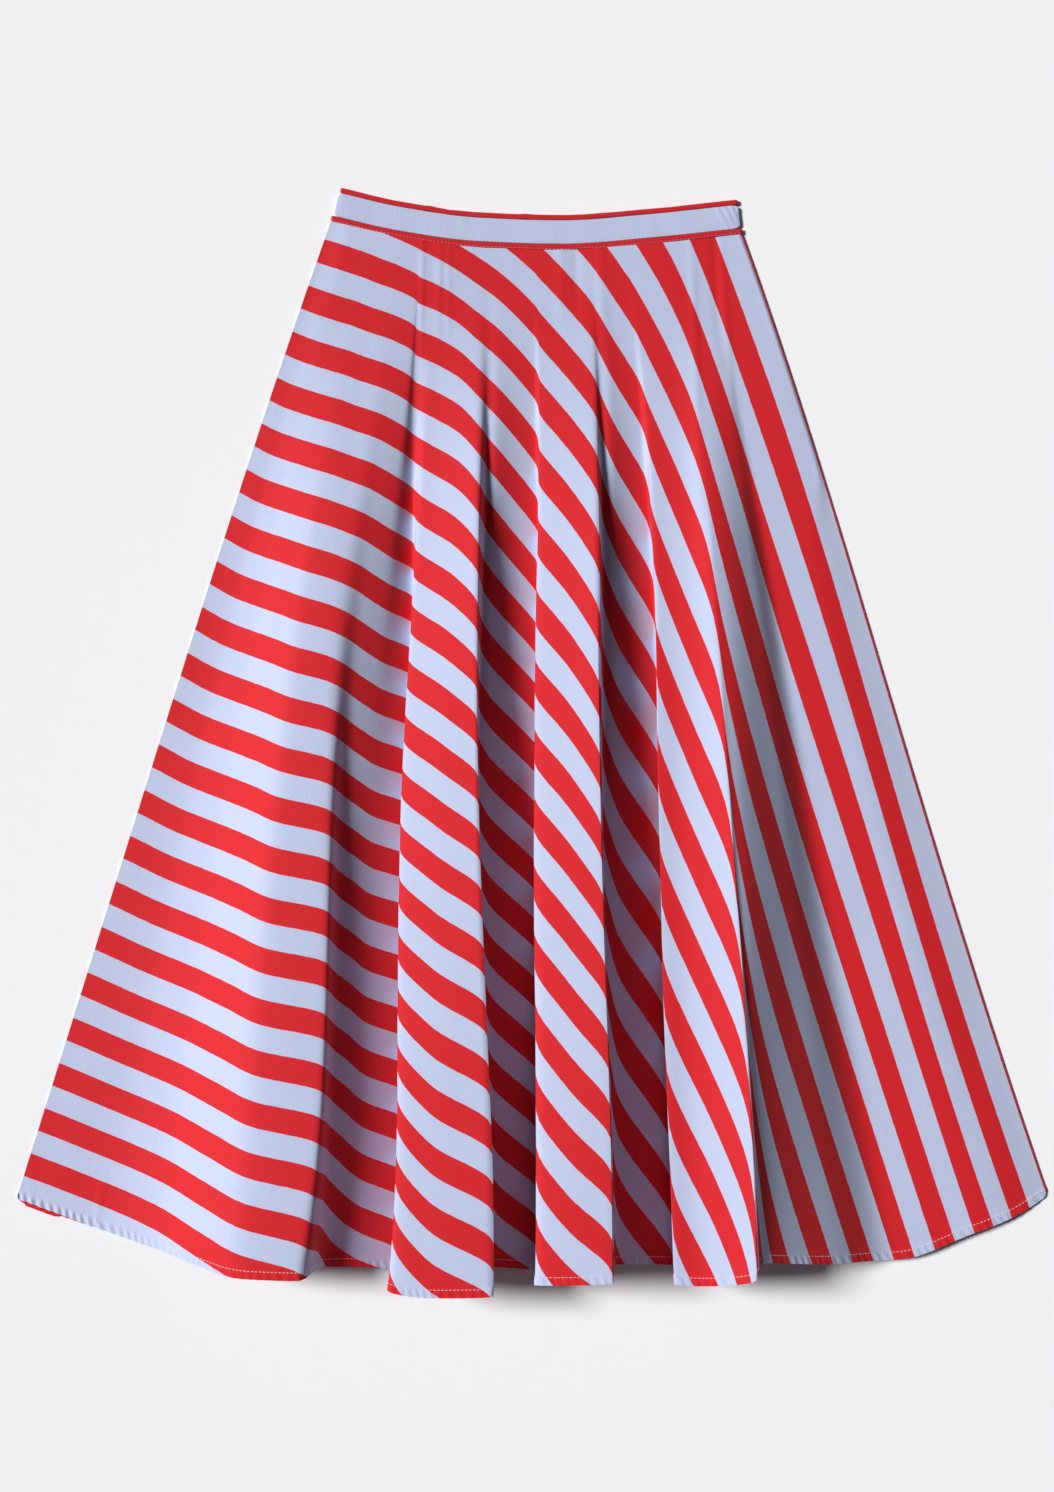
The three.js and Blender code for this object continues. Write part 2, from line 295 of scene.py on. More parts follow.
def curve_through(xs, ys):
    """A smooth curve through the points (xs, ys), with xs rising, that never overshoots them."""
    xs = np.asarray(xs, float)
    ys = np.asarray(ys, float)
    step = np.diff(xs)
    rise = np.diff(ys) / step
    near = 2 * step[1:] + step[:-1]
    far = step[1:] + 2 * step[:-1]
    same_way = rise[:-1] * rise[1:] > 0
    before = np.where(same_way, rise[:-1], 1)
    after = np.where(same_way, rise[1:], 1)
    slopes = np.zeros_like(ys)
    slopes[1:-1] = np.where(same_way, (near + far) / (near / before + far / after), 0)
    slopes[0] = rise[0]
    slopes[-1] = rise[-1]

    def at(x):
        i = np.clip(np.searchsorted(xs, x) - 1, 0, len(xs) - 2)
        s = (x - xs[i]) / step[i]
        start = (1 + 2 * s) * (1 - s) ** 2 * ys[i] + s * (1 - s) ** 2 * step[i] * slopes[i]
        end = s * s * (3 - 2 * s) * ys[i + 1] + s * s * (s - 1) * step[i] * slopes[i + 1]
        return start + end

    return at


seam_height = curve_through([x for x, _ in WAIST_SEAM], [y for _, y in WAIST_SEAM])
grain_give = curve_through([down for down, _, _ in GIVE], [grain for _, grain, _ in GIVE])
bias_give = curve_through([down for down, _, _ in GIVE], [bias for _, _, bias in GIVE])


def smooth_step(value, start, end):
    """0 below start, 1 above end and smooth between them."""
    s = np.clip((value - start) / (end - start), 0, 1)
    return s * s * (3 - 2 * s)


def fold_values(folds, across):
    """The fold lines' values at points across a panel, softened as cloth softens a fold."""
    lines = np.array(folds, float)
    at = 1 - lines[:, 1] / QUARTER
    fine = np.linspace(0, 1, FINE + 1)
    reach = 3 * SOFTENING
    weights = np.exp(-0.5 * (np.arange(-reach, reach + 1) / SOFTENING) ** 2)
    weights /= weights.sum()
    values = []
    for column in lines.T:
        drawn = np.pad(curve_through(at, column)(fine), reach, mode="reflect", reflect_type="odd")
        values.append(np.interp(across, fine, np.convolve(drawn, weights, mode="valid")))
    return values


def through_stations(values, down):
    """The polynomial through one value at each station."""
    total = 0
    for i, value in enumerate(values):
        weight = 1
        for j, station in enumerate(STATIONS):
            if j != i:
                weight = weight * (down - station) / (STATIONS[i] - station)
        total = total + value * weight
    return total


def lay_panel(folds, base, across, down):
    """The middle of a panel's cloth as it lies, and the same points on its flat cut, as two grids."""
    cut_top, cut_hem, *places, hem_y, rise, late = fold_values(folds, across)
    top = WAIST_RIGHT + (WAIST_LEFT - WAIST_RIGHT) * cut_top / QUARTER
    cut = cut_top * (1 - down) + cut_hem * down
    x = through_stations((top, *places), down)
    y = seam_height(top) * (1 - down) + hem_y * down
    swell = np.sin(math.pi / 2 * np.clip(down, 0, None) ** late) * smooth_step(down, 0, FLAT_ABOVE)
    z = base(cut, down) + rise * swell
    angle = np.radians(cut)
    radius = CUT_INNER + CUT_LENGTH * down + grain_give(down) - bias_give(down) * np.sin(2 * angle)
    return np.stack([x, y, z], -1), np.stack([radius * np.cos(angle), radius * np.sin(angle)], -1)


def front_base(cut, down):
    """Height of the front over the floor where it has no fold.

    It meets the back at both side seams, and more sharply where the zip lies between them.
    """
    from_seam = np.radians(cut) * (CUT_INNER + CUT_LENGTH * down)
    reach = RIGHT_LIFT_REACH + BELOW_ZIP_REACH * smooth_step(down, *ZIP_PASSED)
    left = smooth_step(QUARTER - cut, 0, LEFT_LIFT_ANGLE)
    right = smooth_step(from_seam, 0, reach)
    return FRONT_AT_SEAM + FRONT_LIFT * left * right


def back_base(cut, down):
    """Height of the back's middle over the floor where it has no fold."""
    return np.full(np.broadcast(cut, down).shape, BACK_MIDDLE)


def even_columns(folds, count):
    """Places across a panel that are evenly far apart along its hem."""
    fine = np.linspace(0, 1, FINE + 1)
    *_, x, y, z, _ = fold_values(folds, fine)
    steps = np.sqrt(np.diff(x) ** 2 + np.diff(y) ** 2 + np.diff(z) ** 2) + LEAST_STEP
    run = np.concatenate([[0], np.cumsum(steps)])
    return np.interp(np.linspace(0, run[-1], count), run, fine)


def facing(grid):
    """The way a grid of points faces at each of them."""
    normal = np.cross(np.gradient(grid, axis=1), -np.gradient(grid, axis=0))
    return normal / np.linalg.norm(normal, axis=-1, keepdims=True)


def creased(grid, creases):
    """How far soft ridges and troughs lift the cloth at each point of a grid."""
    lift = np.zeros(grid.shape[:2])
    for x0, y0, x1, y1, width, height in creases:
        run = np.array([x1 - x0, y1 - y0])
        span = np.hypot(*run)
        offset = grid[..., :2] - np.array([x0, y0])
        along = (offset @ run) / span**2
        aside = (offset[..., 0] * run[1] - offset[..., 1] * run[0]) / span
        fade = np.clip(4 * along * (1 - along), 0, 1)
        lift += height * fade * np.exp(-((aside / width) ** 2))
    return lift


def slack(grid):
    """The slight unevenness of cloth that nobody has pressed."""
    x = grid[..., 0]
    y = grid[..., 1]
    broad = np.sin(x / 31 + 1.3 * np.sin(y / 74)) * np.sin(y / 57 + 0.8)
    small = np.sin(x / 11.3 + y / 46 + 2.1) * np.sin(y / 23 - x / 61)
    return BROAD_SLACK * broad + SMALL_SLACK * small


def grid_faces(numbers):
    """The quads of a grid of point numbers, wound to face the viewer of its rows and columns."""
    corners = (numbers[:-1, :-1], numbers[1:, :-1], numbers[1:, 1:], numbers[:-1, 1:])
    return np.stack([c.ravel() for c in corners], -1)


def closed_shell(outer, inner):
    """Points and quads of the closed wall between two grids of the same size."""
    rows, columns = outer.shape[:2]
    upper = np.arange(rows * columns).reshape(rows, columns)
    lower = upper + rows * columns
    rims = [
        np.concatenate([n[:-1, 0], n[-1, :-1], n[:0:-1, -1], n[0, :0:-1]]) for n in (upper, lower)
    ]
    edge = np.stack([rims[0], rims[1], np.roll(rims[1], -1), np.roll(rims[0], -1)], -1)
    faces = np.concatenate([grid_faces(upper), grid_faces(lower)[:, ::-1], edge])
    return np.concatenate([outer.reshape(-1, 3), inner.reshape(-1, 3)]), faces


def add_piece(name, points, faces, material, cut=None):
    """A smooth mesh from points in millimetres, riding on the skirt. Its map is its place on the flat cut."""
    mesh = bpy.data.meshes.new(name)
    mesh.from_pydata((points * MILLIMETRE).tolist(), [], faces.tolist())
    mesh.shade_smooth()
    mesh.set_sharp_from_angle(angle=SHARP_EDGE)
    mesh.materials.append(material)
    if cut is not None:
        corners = np.empty(len(mesh.loops), np.int32)
        mesh.loops.foreach_get("vertex_index", corners)
        layer = mesh.uv_layers.new(name="Cut")
        layer.data.foreach_set("uv", (cut[corners] * MILLIMETRE).astype(np.float32).ravel())
    piece = bpy.data.objects.new(name, mesh)
    bpy.context.scene.collection.objects.link(piece)
    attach(piece, "root")
    return piece


def add_shell(name, outer, inner, material, cut=None):
    """A closed wall of cloth between two grids."""
    points, faces = closed_shell(outer, inner)
    points[:, 2] = np.maximum(points[:, 2], 0)
    both = None if cut is None else np.concatenate([cut.reshape(-1, 2)] * 2)
    return add_piece(name, points, faces, material, both)


# The rings of points round one stitch: share of its length, girth and height, in threads
STITCH_RINGS = [(-0.5, 0.35, -0.25), (-0.38, 0.85, 0.1), (0, 1, 0.35), (0.38, 0.85, 0.1), (0.5, 0.35, -0.25)]
STITCH_SIDES = 6


def sew(name, path, normals, trim, radius, material):
    """A row of stitches along a path, each a short thread with tapered ends, as one mesh."""
    pitch = trim.stitch_pitch / MILLIMETRE
    shown = trim.stitch_length / MILLIMETRE
    run = np.concatenate([[0], np.cumsum(np.linalg.norm(np.diff(path, axis=0), axis=1))])
    places = np.arange(pitch / 2, run[-1] - pitch / 2, pitch)

    def along(distance):
        return np.stack([np.interp(distance, run, path[:, k]) for k in range(3)], -1)

    centre = along(places)
    way = along(places + shown / 2) - along(places - shown / 2)
    way /= np.linalg.norm(way, axis=1, keepdims=True)
    up = np.stack([np.interp(places, run, normals[:, k]) for k in range(3)], -1)
    side = np.cross(up, way)
    side /= np.linalg.norm(side, axis=1, keepdims=True)
    up = np.cross(way, side)
    points = []
    for share, girth, height in STITCH_RINGS:
        for turn in np.radians(np.arange(STITCH_SIDES) * 360 / STITCH_SIDES):
            points.append(
                centre
                + way * shown * share
                + side * radius * girth * math.cos(turn)
                + up * radius * (height + girth * math.sin(turn))
            )
    points = np.stack(points, 1)
    one = []
    for k in range(len(STITCH_RINGS) - 1):
        first = k * STITCH_SIDES
        for t in range(STITCH_SIDES):
            a = first + t
            b = first + (t + 1) % STITCH_SIDES
            one.append((a, b, b + STITCH_SIDES, a + STITCH_SIDES))
    last = (len(STITCH_RINGS) - 1) * STITCH_SIDES
    one += [(0, 5, 4, 3), (0, 3, 2, 1)]
    one += [(last, last + 1, last + 2, last + 3), (last, last + 3, last + 4, last + 5)]
    one = np.array(one)
    starts = np.arange(len(places))[:, None, None] * points.shape[1]
    return add_piece(name, points.reshape(-1, 3), (one[None] + starts).reshape(-1, 4), material)


# ---------------- materials

STRIPE_SHARPNESS = 12.0  # how quickly one colour turns to the other at a stripe's edge
WANDER = 0.024  # how far a stripe's edge wanders, in stripes
TAPE_WHITE = "#e4e6ee"
NYLON_WHITE = "#e9ebf2"
ENAMEL_WHITE = "#e6e8ef"
PIPING_THREAD_PINK = "#e8808c"
ROOM_WHITE = "#f3f5ff"


def add_node(tree, kind, inputs=None, **settings):
    """Adds a node with its settings. Each input is a value, or a socket to link from."""
    node = tree.nodes.new(kind)
    for name, value in settings.items():
        setattr(node, name, value)
    for name, value in (inputs or {}).items():
        if isinstance(value, bpy.types.NodeSocket):
            tree.links.new(value, node.inputs[name])
        else:
            node.inputs[name].default_value = value
    return node


def new_material(name, **values):
    """A material with its shader's own sockets set, and what its nodes are added to."""
    material = bpy.data.materials.new(name)
    material.use_nodes = True
    tree = material.node_tree
    shader = tree.nodes["Principled BSDF"]
    for socket, value in values.items():
        shader.inputs[socket.replace("_", " ")].default_value = value
    return material, tree, shader


def shade(value, factor):
    """A colour made lighter or darker."""
    return tuple(min(1.0, c * factor) for c in value[:3]) + (1.0,)


def weave_cotton(tree, shader, place, light, dark, depth):
    """Joins the look of plain-woven cotton to a shader: uneven yarns in its colour and in its relief.

    light and dark are the sockets or colours that the yarns vary between. place is in metres.
    """
    # Slubs, the thick places in a yarn, are 20 to 40 mm long and a few threads wide.
    slubs = []
    for stretch in ((45, 900, 1), (900, 45, 1)):
        stretched = add_node(tree, "ShaderNodeMapping", {"Vector": place, "Scale": stretch})
        noise = {"Vector": stretched.outputs[0], "Scale": 1.0, "Detail": 2.0, "Roughness": 0.55}
        slubs.append(add_node(tree, "ShaderNodeTexNoise", noise, noise_dimensions="2D").outputs["Fac"])
    both = add_node(tree, "ShaderNodeMath", {0: slubs[0], 1: slubs[1]}, operation="ADD")
    amount = add_node(
        tree, "ShaderNodeMapRange", {"Value": both.outputs[0], "From Min": 0.7, "From Max": 1.3}
    )
    tint = add_node(tree, "ShaderNodeMix", {0: amount.outputs[0], 6: dark, 7: light}, data_type="RGBA")
    tree.links.new(tint.outputs[2], shader.inputs["Base Color"])
    # Poplin has about 4 threads in a millimetre. The weave is drawn six times as coarse, so that it shows.
    threads = []
    for direction in ("X", "Y"):
        wave = {"Vector": place, "Scale": 105.0, "Distortion": 0.6, "Detail": 1.0, "Detail Scale": 0.4}
        threads.append(add_node(tree, "ShaderNodeTexWave", wave, bands_direction=direction).outputs["Fac"])
    weave = add_node(tree, "ShaderNodeMath", {0: threads[0], 1: threads[1]}, operation="MULTIPLY")
    heights = {0: weave.outputs[0], 1: 0.5, 2: both.outputs[0]}
    height = add_node(tree, "ShaderNodeMath", heights, operation="MULTIPLY_ADD").outputs[0]
    bump = {"Height": height, "Strength": 0.2, "Distance": depth * MILLIMETRE}
    relief = add_node(tree, "ShaderNodeBump", bump)
    tree.links.new(relief.outputs[0], shader.inputs["Normal"])


def striped_poplin(cloth):
    """Yarn-dyed cotton poplin: plain weave, matt, with crisp stripes that are the same on both sides."""
    material, tree, shader = new_material(
        "Yarn-dyed cotton poplin", Roughness=0.82, Sheen_Weight=0.12, Sheen_Roughness=0.45, IOR=1.5
    )
    place = add_node(tree, "ShaderNodeUVMap", uv_map="Cut").outputs[0]
    apart = add_node(tree, "ShaderNodeSeparateXYZ", {0: place})
    # Dyed yarns wander by a fraction of a millimetre, so a stripe's edge isn't ruled.
    wander = add_node(
        tree, "ShaderNodeTexNoise", {"Vector": place, "Scale": 160.0, "Detail": 1.0}, noise_dimensions="2D"
    )
    counting = {
        0: apart.outputs[1],
        1: 1 / cloth.stripe,
        2: -FIRST_STRIPE * MILLIMETRE / cloth.stripe - 0.5,
    }
    count = add_node(tree, "ShaderNodeMath", counting, operation="MULTIPLY_ADD").outputs[0]
    wandering = {0: wander.outputs["Fac"], 1: WANDER, 2: count}
    wandered = add_node(tree, "ShaderNodeMath", wandering, operation="MULTIPLY_ADD").outputs[0]
    turn = add_node(tree, "ShaderNodeMath", {0: wandered, 1: math.pi}, operation="MULTIPLY").outputs[0]
    swing = add_node(tree, "ShaderNodeMath", {0: turn}, operation="COSINE").outputs[0]
    sharpened = {0: swing, 1: -STRIPE_SHARPNESS, 2: 0.5}
    is_red = add_node(
        tree, "ShaderNodeMath", sharpened, operation="MULTIPLY_ADD", use_clamp=True
    ).outputs[0]
    shades = []
    for factor in (1.02, 0.97):
        pair = {0: is_red, 6: shade(cloth.white, factor), 7: shade(cloth.red, factor)}
        shades.append(add_node(tree, "ShaderNodeMix", pair, data_type="RGBA").outputs[2])
    weave_cotton(tree, shader, place, shades[0], shades[1], 0.25)
    return material


def plain_cotton(name, base, depth):
    """Plain-woven cotton in one colour: matt, with slightly uneven yarns."""
    material, tree, shader = new_material(
        name, Roughness=0.8, Sheen_Weight=0.12, Sheen_Roughness=0.45, IOR=1.5
    )
    place = add_node(tree, "ShaderNodeTexCoord").outputs["Object"]
    weave_cotton(tree, shader, place, shade(base, 1.02), shade(base, 0.97), depth)
    return material


def ribbed_polyester(name, base, scale, wobble, dark, strength, depth, **values):
    """Polyester with fine slanting ribs, lower between them, where painted shade darkens the colour."""
    material, tree, shader = new_material(name, IOR=1.57, **values)
    place = add_node(tree, "ShaderNodeTexCoord").outputs["Object"]
    wave = {"Vector": place, "Scale": scale, "Distortion": wobble}
    ribs = add_node(tree, "ShaderNodeTexWave", wave, bands_direction="DIAGONAL").outputs["Fac"]
    # Painted shade: the colour is darker where the ribs are low, in the grooves between them.
    tint = add_node(tree, "ShaderNodeMix", {0: ribs, 6: shade(base, dark), 7: base}, data_type="RGBA")
    tree.links.new(tint.outputs[2], shader.inputs["Base Color"])
    bump = {"Height": ribs, "Strength": strength, "Distance": depth * MILLIMETRE}
    relief = add_node(tree, "ShaderNodeBump", bump)
    tree.links.new(relief.outputs[0], shader.inputs["Normal"])
    return material


def twisted_thread(name, base):
    """Polyester sewing thread: smoother than the cotton, with a fine twist that breaks up its shine."""
    # The twist is 0.4 mm a turn, drawn much longer so that it shows; painted shade darkens its grooves.
    return ribbed_polyester(name, base, 100.0, 1.0, 0.85, 0.4, 0.1, Roughness=0.5, Sheen_Weight=0.1)


def herringbone_tape():
    """Woven polyester zip tape: a tight twill with a slight gloss, and painted shade between its ribs."""
    # The twill's ribs are 0.7 mm apart, drawn eight times as coarse so that they show.
    name = "Polyester zip tape"
    white = linear(TAPE_WHITE)
    return ribbed_polyester(name, white, 112.0, 0.3, 0.88, 0.5, 0.2, Roughness=0.6, Sheen_Weight=0.08)


def moulded_nylon():
    """Moulded nylon coil: translucent white, satin, slightly uneven in its gloss."""
    material, tree, shader = new_material("Moulded nylon", IOR=1.53, Base_Color=linear(NYLON_WHITE))
    place = add_node(tree, "ShaderNodeTexCoord").outputs["Object"]
    cloudy = add_node(tree, "ShaderNodeTexNoise", {"Vector": place, "Scale": 400.0, "Detail": 2.0})
    limits = {"Value": cloudy.outputs["Fac"], "To Min": 0.3, "To Max": 0.5}
    gloss = add_node(tree, "ShaderNodeMapRange", limits)
    tree.links.new(gloss.outputs[0], shader.inputs["Roughness"])
    return material


def enamelled_zinc():
    """Enamelled zinc slider: white stoving enamel with a soft gloss and a fine orange peel."""
    material, tree, shader = new_material(
        "Enamelled zinc",
        IOR=1.5,
        Base_Color=linear(ENAMEL_WHITE),
        Coat_Weight=0.3,
        Coat_Roughness=0.2,
        Roughness=0.35,
    )
    place = add_node(tree, "ShaderNodeTexCoord").outputs["Object"]
    peel = add_node(tree, "ShaderNodeTexNoise", {"Vector": place, "Scale": 900.0, "Detail": 1.0})
    bump = {"Height": peel.outputs["Fac"], "Strength": 0.2, "Distance": 0.05 * MILLIMETRE}
    relief = add_node(tree, "ShaderNodeBump", bump)
    tree.links.new(relief.outputs[0], shader.inputs["Normal"])
    return material


def seamless_paper(stage):
    """Matt photographic paper: pale, with a very faint fibre."""
    material, tree, shader = new_material("Seamless paper", Roughness=0.95, IOR=1.45)
    place = add_node(tree, "ShaderNodeTexCoord").outputs["Object"]
    fibre = add_node(tree, "ShaderNodeTexNoise", {"Vector": place, "Scale": 60.0, "Detail": 4.0})
    pair = {0: fibre.outputs["Fac"], 6: shade(stage.floor, 0.985), 7: stage.floor}
    tint = add_node(tree, "ShaderNodeMix", pair, data_type="RGBA")
    tree.links.new(tint.outputs[2], shader.inputs["Base Color"])
    return material


def finish(name, make):
    """The material of that name, made the first time that it is asked for."""
    return bpy.data.materials.get(name) or make()


# ---------------- panels

HEM_COLUMNS = 1500
# The rows of the turned hem, as shares of its depth above its edge
HEM_ROWS = np.array([1.05, 0.95, 0.82, 0.68, 0.52, 0.38, 0.25, 0.13, 0.05, 0.0])
HEM_STITCH_ROW = 2
HEM_THREAD = 0.28
HEM_CLEARANCE = 0.02  # how far the hem stands off the panel that it covers
HEM_OVERLAP = 0.4  # how far the panel reaches into the turned hem
HEM_CORNER = 6.0  # how round the hem's two corners are
BACK_HEM_SHORT = 4.0  # the back's hem hangs this much short of the front's
PEEK = 5.8  # and comes this much further down where it shows
INTO_SEAM = 0.002  # how far a panel reaches into the waist seam, as a share of its length
CALM_SIDE = 0.02  # the share of a panel, at each side seam, where the unevenness fades out
PUCKER_PITCH = 1.16  # the puckers along the hem are 2 pi times this long, about 7 mm


class PanelPlan(NamedTuple):
    """What one panel is built from."""

    name: str
    folds: list
    base: Callable  # the height of its middle where it has no fold
    creases: list
    columns: int
    rows: int
    stripes_off: float
    draw_up: Callable  # how far its hem is drawn up, at places across it
    puckers: Callable  # how strongly its hem is puckered, at an x


def front_draw_up(across):
    """The front's hem is its full length."""
    return np.zeros_like(across)


def back_draw_up(across):
    """The back's hem hangs short of the front's, and shows past it beside the lower left corner."""
    beside_corner = smooth_step(across, 0.003, 0.01) * (1 - smooth_step(across, 0.035, 0.05))
    return BACK_HEM_SHORT - PEEK * beside_corner


def front_puckers(x):
    """The hem's stitches pucker the front most beside the lower left corner."""
    return 0.22 + 0.45 * (1 - smooth_step(x, -390, -290))


def back_puckers(x):
    """The back's hem is puckered evenly."""
    return np.full_like(x, 0.2)


FRONT = PanelPlan(
    name="front_panel_cloth",
    folds=FRONT_FOLDS,
    base=front_base,
    creases=WAIST_CREASES + HEM_CREASES,
    columns=400,
    rows=118,
    stripes_off=0.0,
    draw_up=front_draw_up,
    puckers=front_puckers,
)
BACK = PanelPlan(
    name="back_panel_cloth",
    folds=BACK_FOLDS,
    base=back_base,
    creases=BACK_CREASES,
    columns=300,
    rows=70,
    stripes_off=BACK_STRIPES_OFF,
    draw_up=back_draw_up,
    puckers=back_puckers,
)


def rounded_corners(run):
    """How far a hem draws up towards each side seam, so that its corners are rounded."""
    share = np.clip(np.minimum(run, run[-1] - run) / HEM_CORNER, 0, 1)
    return HEM_CORNER * (1 - np.sqrt(1 - (1 - share) ** 2))


def hem_share(distance):
    """How far down the cut a line is that runs this many millimetres above the hem."""
    return 1 - distance / CUT_LENGTH


def uneven(plan, middle, across):
    """How far creases and slackness lift a panel's cloth."""
    calm = smooth_step(np.minimum(across, 1 - across), 0, CALM_SIDE)
    return creased(middle, plan.creases) + slack(middle) * calm


def build_cloth(plan, cloth, material):
    """A panel down to its turned hem."""
    half = cloth.thickness / MILLIMETRE / 2
    across = even_columns(plan.folds, plan.columns)
    end = hem_share(cloth.hem_depth / MILLIMETRE - HEM_OVERLAP) - plan.draw_up(across) / CUT_LENGTH
    down = -INTO_SEAM + (end + INTO_SEAM)[None, :] * np.linspace(0, 1, plan.rows)[:, None]
    middle, cut = lay_panel(plan.folds, plan.base, across, down)
    normal = facing(middle)
    middle = middle + normal * uneven(plan, middle, across)[..., None]
    place = cut + np.array([0, plan.stripes_off])
    outer, inner = (middle + normal * half, middle - normal * half)
    return add_shell(plan.name, outer, inner, material, place)


def build_hem(plan, cloth, material):
    """A panel's turned hem. Returns it with the path of its stitches and the way that they face."""
    depth = cloth.hem_depth / MILLIMETRE
    half = cloth.thickness / MILLIMETRE / 2
    turned_half = cloth.hem_thickness / MILLIMETRE / 2
    across = even_columns(plan.folds, HEM_COLUMNS)
    above = HEM_ROWS * depth
    down = hem_share(above[:, None] + plan.draw_up(across))
    square, _ = lay_panel(plan.folds, plan.base, across, down)
    normal = facing(square)
    run = np.concatenate([[0], np.cumsum(np.linalg.norm(np.diff(square[-1], axis=0), axis=1))])
    corner = rounded_corners(run) * np.linspace(0, 1, len(above))[:, None] ** 3
    middle, cut = lay_panel(plan.folds, plan.base, across, down - corner / CUT_LENGTH)

    phase = run + 2.4 * np.sin(run / 23) + 1.6 * np.sin(run / 9.1 + 1)
    wave = np.sin(phase / PUCKER_PITCH + above[:, None] * 0.35)
    grip = smooth_step(above, depth * 1.05, depth * 0.5)[:, None]
    lift = uneven(plan, middle, across) + plan.puckers(middle[..., 0]) * wave * grip
    middle = middle + normal * lift[..., None]
    fullness = 0.55 + 0.45 * smooth_step(above, 0, depth * 0.25)
    bulge = (turned_half - half) * smooth_step(above, depth * 1.05, depth * 0.8) * fullness
    # The turned-in layer is behind, so the hem is thicker on that side.
    outer = middle + normal * (half + HEM_CLEARANCE + bulge * 0.8)[:, None, None]
    inner = middle - normal * (half + HEM_CLEARANCE + bulge * 1.2)[:, None, None]
    place = cut + np.array([0, plan.stripes_off])
    name = plan.name.replace("panel", "hem")
    hem = add_shell(name, outer, inner, material, place)
    return hem, outer[HEM_STITCH_ROW], normal[HEM_STITCH_ROW]


def build_panel(plan, scene):
    """A panel with its turned hem and the hem's stitches. Returns the three pieces."""
    cloth = scene.skirt_cloth
    trim = scene.skirt_trim
    poplin = finish("Yarn-dyed cotton poplin", lambda: striped_poplin(cloth))
    thread = finish("Sewing thread", lambda: twisted_thread("Sewing thread", trim.thread))
    panel = build_cloth(plan, cloth, poplin)
    hem, path, normals = build_hem(plan, cloth, poplin)
    name = plan.name.replace("panel_cloth", "hem_stitches")
    stitches = sew(name, path, normals, trim, HEM_THREAD, thread)
    return panel, hem, stitches


class SKIRT_OT_front_panel(bpy.types.Operator):
    """Build the front panel with its folds, its turned hem and the hem's stitches"""

    bl_idname = "skirt.front_panel"
    bl_label = "Front panel"

    def execute(self, context):
        panel, hem, stitches = build_panel(FRONT, context.scene)
        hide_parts("front_panel")
        return {"FINISHED"}


class SKIRT_OT_back_panel(bpy.types.Operator):
    """Build the back panel with the loops that stand inside the front's folds, and its turned hem"""

    bl_idname = "skirt.back_panel"
    bl_label = "Back panel"

    def execute(self, context):
        panel, hem, stitches = build_panel(BACK, context.scene)
        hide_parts("back_panel")
        return {"FINISHED"}


# ---------------- waistband

# Small kinks in the top piping, as (x, width, how far it is pushed)
TOP_KINKS = [(-88.6, 4.0, 0.5), (-72, 4.0, -0.45), (-6, 4.5, 0.45), (60, 9, 0.2), (120, 7, -0.2)]
LOWER_KINKS = [(-120, 9, 0.2), (-40, 8, -0.2), (40, 10, 0.2), (110, 8, -0.2)]
# Diagonal puckers in the band's right-hand end, as a crease is given
BAND_PUCKERS = [
    (150, 440, 163, 418, 1.3, 0.45),
    (155, 443, 168, 420, 1.2, 0.5),
    (160, 445, 173, 421, 1.2, 0.55),
    (165, 446, 177, 423, 1.2, 0.5),
    (-60, 436, -54, 404, 4.0, 0.15),
    (20, 434, 15, 402, 5.0, 0.15),
    (95, 438, 101, 406, 5.0, 0.2),
]
BAND_COLUMNS = 340
BAND_ROWS = 13
PIPING_STITCH_ROW = 9
PIPING_THREAD = 0.25
BAND_SQUARENESS = 6  # a strip's section: 2 is an ellipse, and more is squarer
PIPING_SQUARENESS = 2.2
PIPING_PROUD = 0.15  # how much higher the front's piping lies than the band
BACK_PIPING_PRESSED = 0.85  # the back's piping is pressed thinner, as the skirt lies on it
CROWDED = 0.12  # how far a strip's columns crowd towards its ends, from 0 to 1
EDGE_THICKNESS = 0.18  # a strip's thickness at its edges, as a share of its middle's
END_THICKNESS = 0.25  # and at its ends
END_NARROWING = 0.35  # how far the rounding narrows it there


def band_strip(name, edges, ends, thickness, height, squareness, kinks, puckers, material):
    """A strip of the waistband along the waist seam, rounded across and at its two ends.

    Returns it with the grid of its upper side, whose rows run from the top edge down.
    """
    low, high = edges
    left, right = ends
    width = high - low
    even = np.linspace(0, 1, BAND_COLUMNS)
    x = left + (right - left) * (CROWDED * (1 - np.cos(math.pi * even)) / 2 + (1 - CROWDED) * even)
    from_end = np.minimum(x - left, right - x)
    rounding = np.sqrt(1 - (1 - np.clip(from_end / (width * 0.3 + 0.6), 0, 1)) ** 2)
    round_end = END_THICKNESS + (1 - END_THICKNESS) * rounding
    share = np.cos(np.linspace(0, math.pi, BAND_ROWS))[:, None]
    distance = low + width / 2 + width / 2 * share * (1 - (1 - round_end) * END_NARROWING)
    for at, reach, push in kinks:
        distance = distance + push * np.exp(-(((x - at) / reach) ** 2))
    slope = (seam_height(x + 1) - seam_height(x - 1)) / 2
    size = np.hypot(1, slope)
    px = x - slope / size * distance
    py = seam_height(x) + distance / size
    round_across = (1 - np.abs(share) ** squareness) ** (1 / squareness)
    half = thickness / 2 * (EDGE_THICKNESS + (1 - EDGE_THICKNESS) * round_across) * round_end
    level = height + 0.12 * np.sin(x / 17) + 0.08 * np.sin(x / 6.3 + 1)
    middle = np.stack([px, py, np.broadcast_to(level, px.shape)], -1)
    outer = middle.copy()
    outer[..., 2] += half + creased(middle, puckers) * round_across
    inner = middle.copy()
    inner[..., 2] -= half
    return add_shell(name, outer, inner, material), outer


